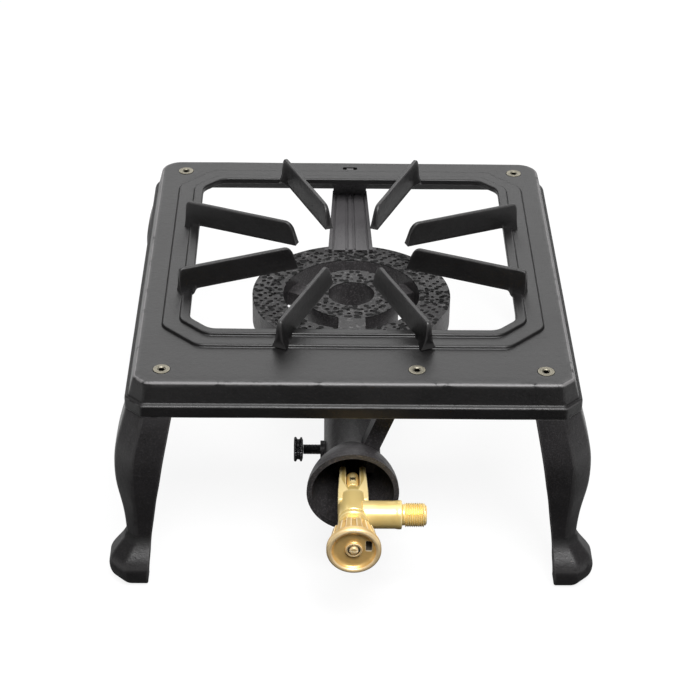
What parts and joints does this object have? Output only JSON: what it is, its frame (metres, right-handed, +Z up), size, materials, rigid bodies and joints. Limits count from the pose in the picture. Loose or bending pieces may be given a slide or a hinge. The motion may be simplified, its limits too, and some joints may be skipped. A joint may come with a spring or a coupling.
{
  "type": "propane burner stand",
  "caption": "Low four-legged cast-iron stand with a raised-finger pot rest over a ported ring burner, fed through a brass needle valve with a round knob and a side gas inlet.",
  "frame": {"origin": "under the middle of the whole stand, on the floor, halfway between the valve knob's face and the back toes", "axes": "+X to the right with the gas inlet, +Y to the back, away from the valve, +Z up; the pot rests at the top"},
  "size_m": [0.3262, 0.4111, 0.173],
  "materials": {
    "black_cast_iron": "satin black paint over sand-cast grain, lighter along worn edges",
    "zinc_steel": "zinc plated, slightly yellow",
    "black_steel": "black oxide",
    "bright_brass": "bright machined",
    "aged_brass": "darker cast and turned brass",
    "packing": "plain"
  },
  "bodies": {
    "root": {"top_plate": "black_cast_iron", "pot_fingers": "black_cast_iron", "leg_front_left": "black_cast_iron", "leg_front_right": "black_cast_iron", "leg_back_left": "black_cast_iron", "leg_back_right": "black_cast_iron", "leg_screws": "zinc_steel", "leg_washers": "zinc_steel", "leg_nuts": "zinc_steel", "burner_casting": "black_cast_iron", "burner_screw": "zinc_steel", "burner_washer": "zinc_steel", "burner_nut": "zinc_steel", "valve_body": "bright_brass", "gas_jet": "bright_brass", "spindle_packing": "packing", "gland_nut": "bright_brass"},
    "spindle": {"valve_spindle": "bright_brass"},
    "knob": {"knob": "aged_brass", "knob_washer": "zinc_steel", "knob_screw": "bright_brass"},
    "thumb_screw": {"thumb_screw": "black_steel"}
  },
  "joints": [
    {"name": "spindle_travel", "type": "slide", "parent": "root", "child": "spindle", "axis": [0, -1, 0], "range_m": [0, 0.0015]},
    {"name": "knob_turn", "type": "hinge", "parent": "spindle", "child": "knob", "pos_m": [0, -0.1916, 0.075], "axis": [0, -1, 0], "range_deg": [0, 540]},
    {"name": "thumb_screw_turn", "type": "hinge", "parent": "root", "child": "thumb_screw", "pos_m": [-0.03, -0.0916, 0.075], "axis": [-1, 0, 0], "range_deg": [0, 720]}
  ],
  "couplings": [
    {"joint": "spindle_travel", "follows": "knob_turn", "m_per_rad": 0.00015915}
  ]
}
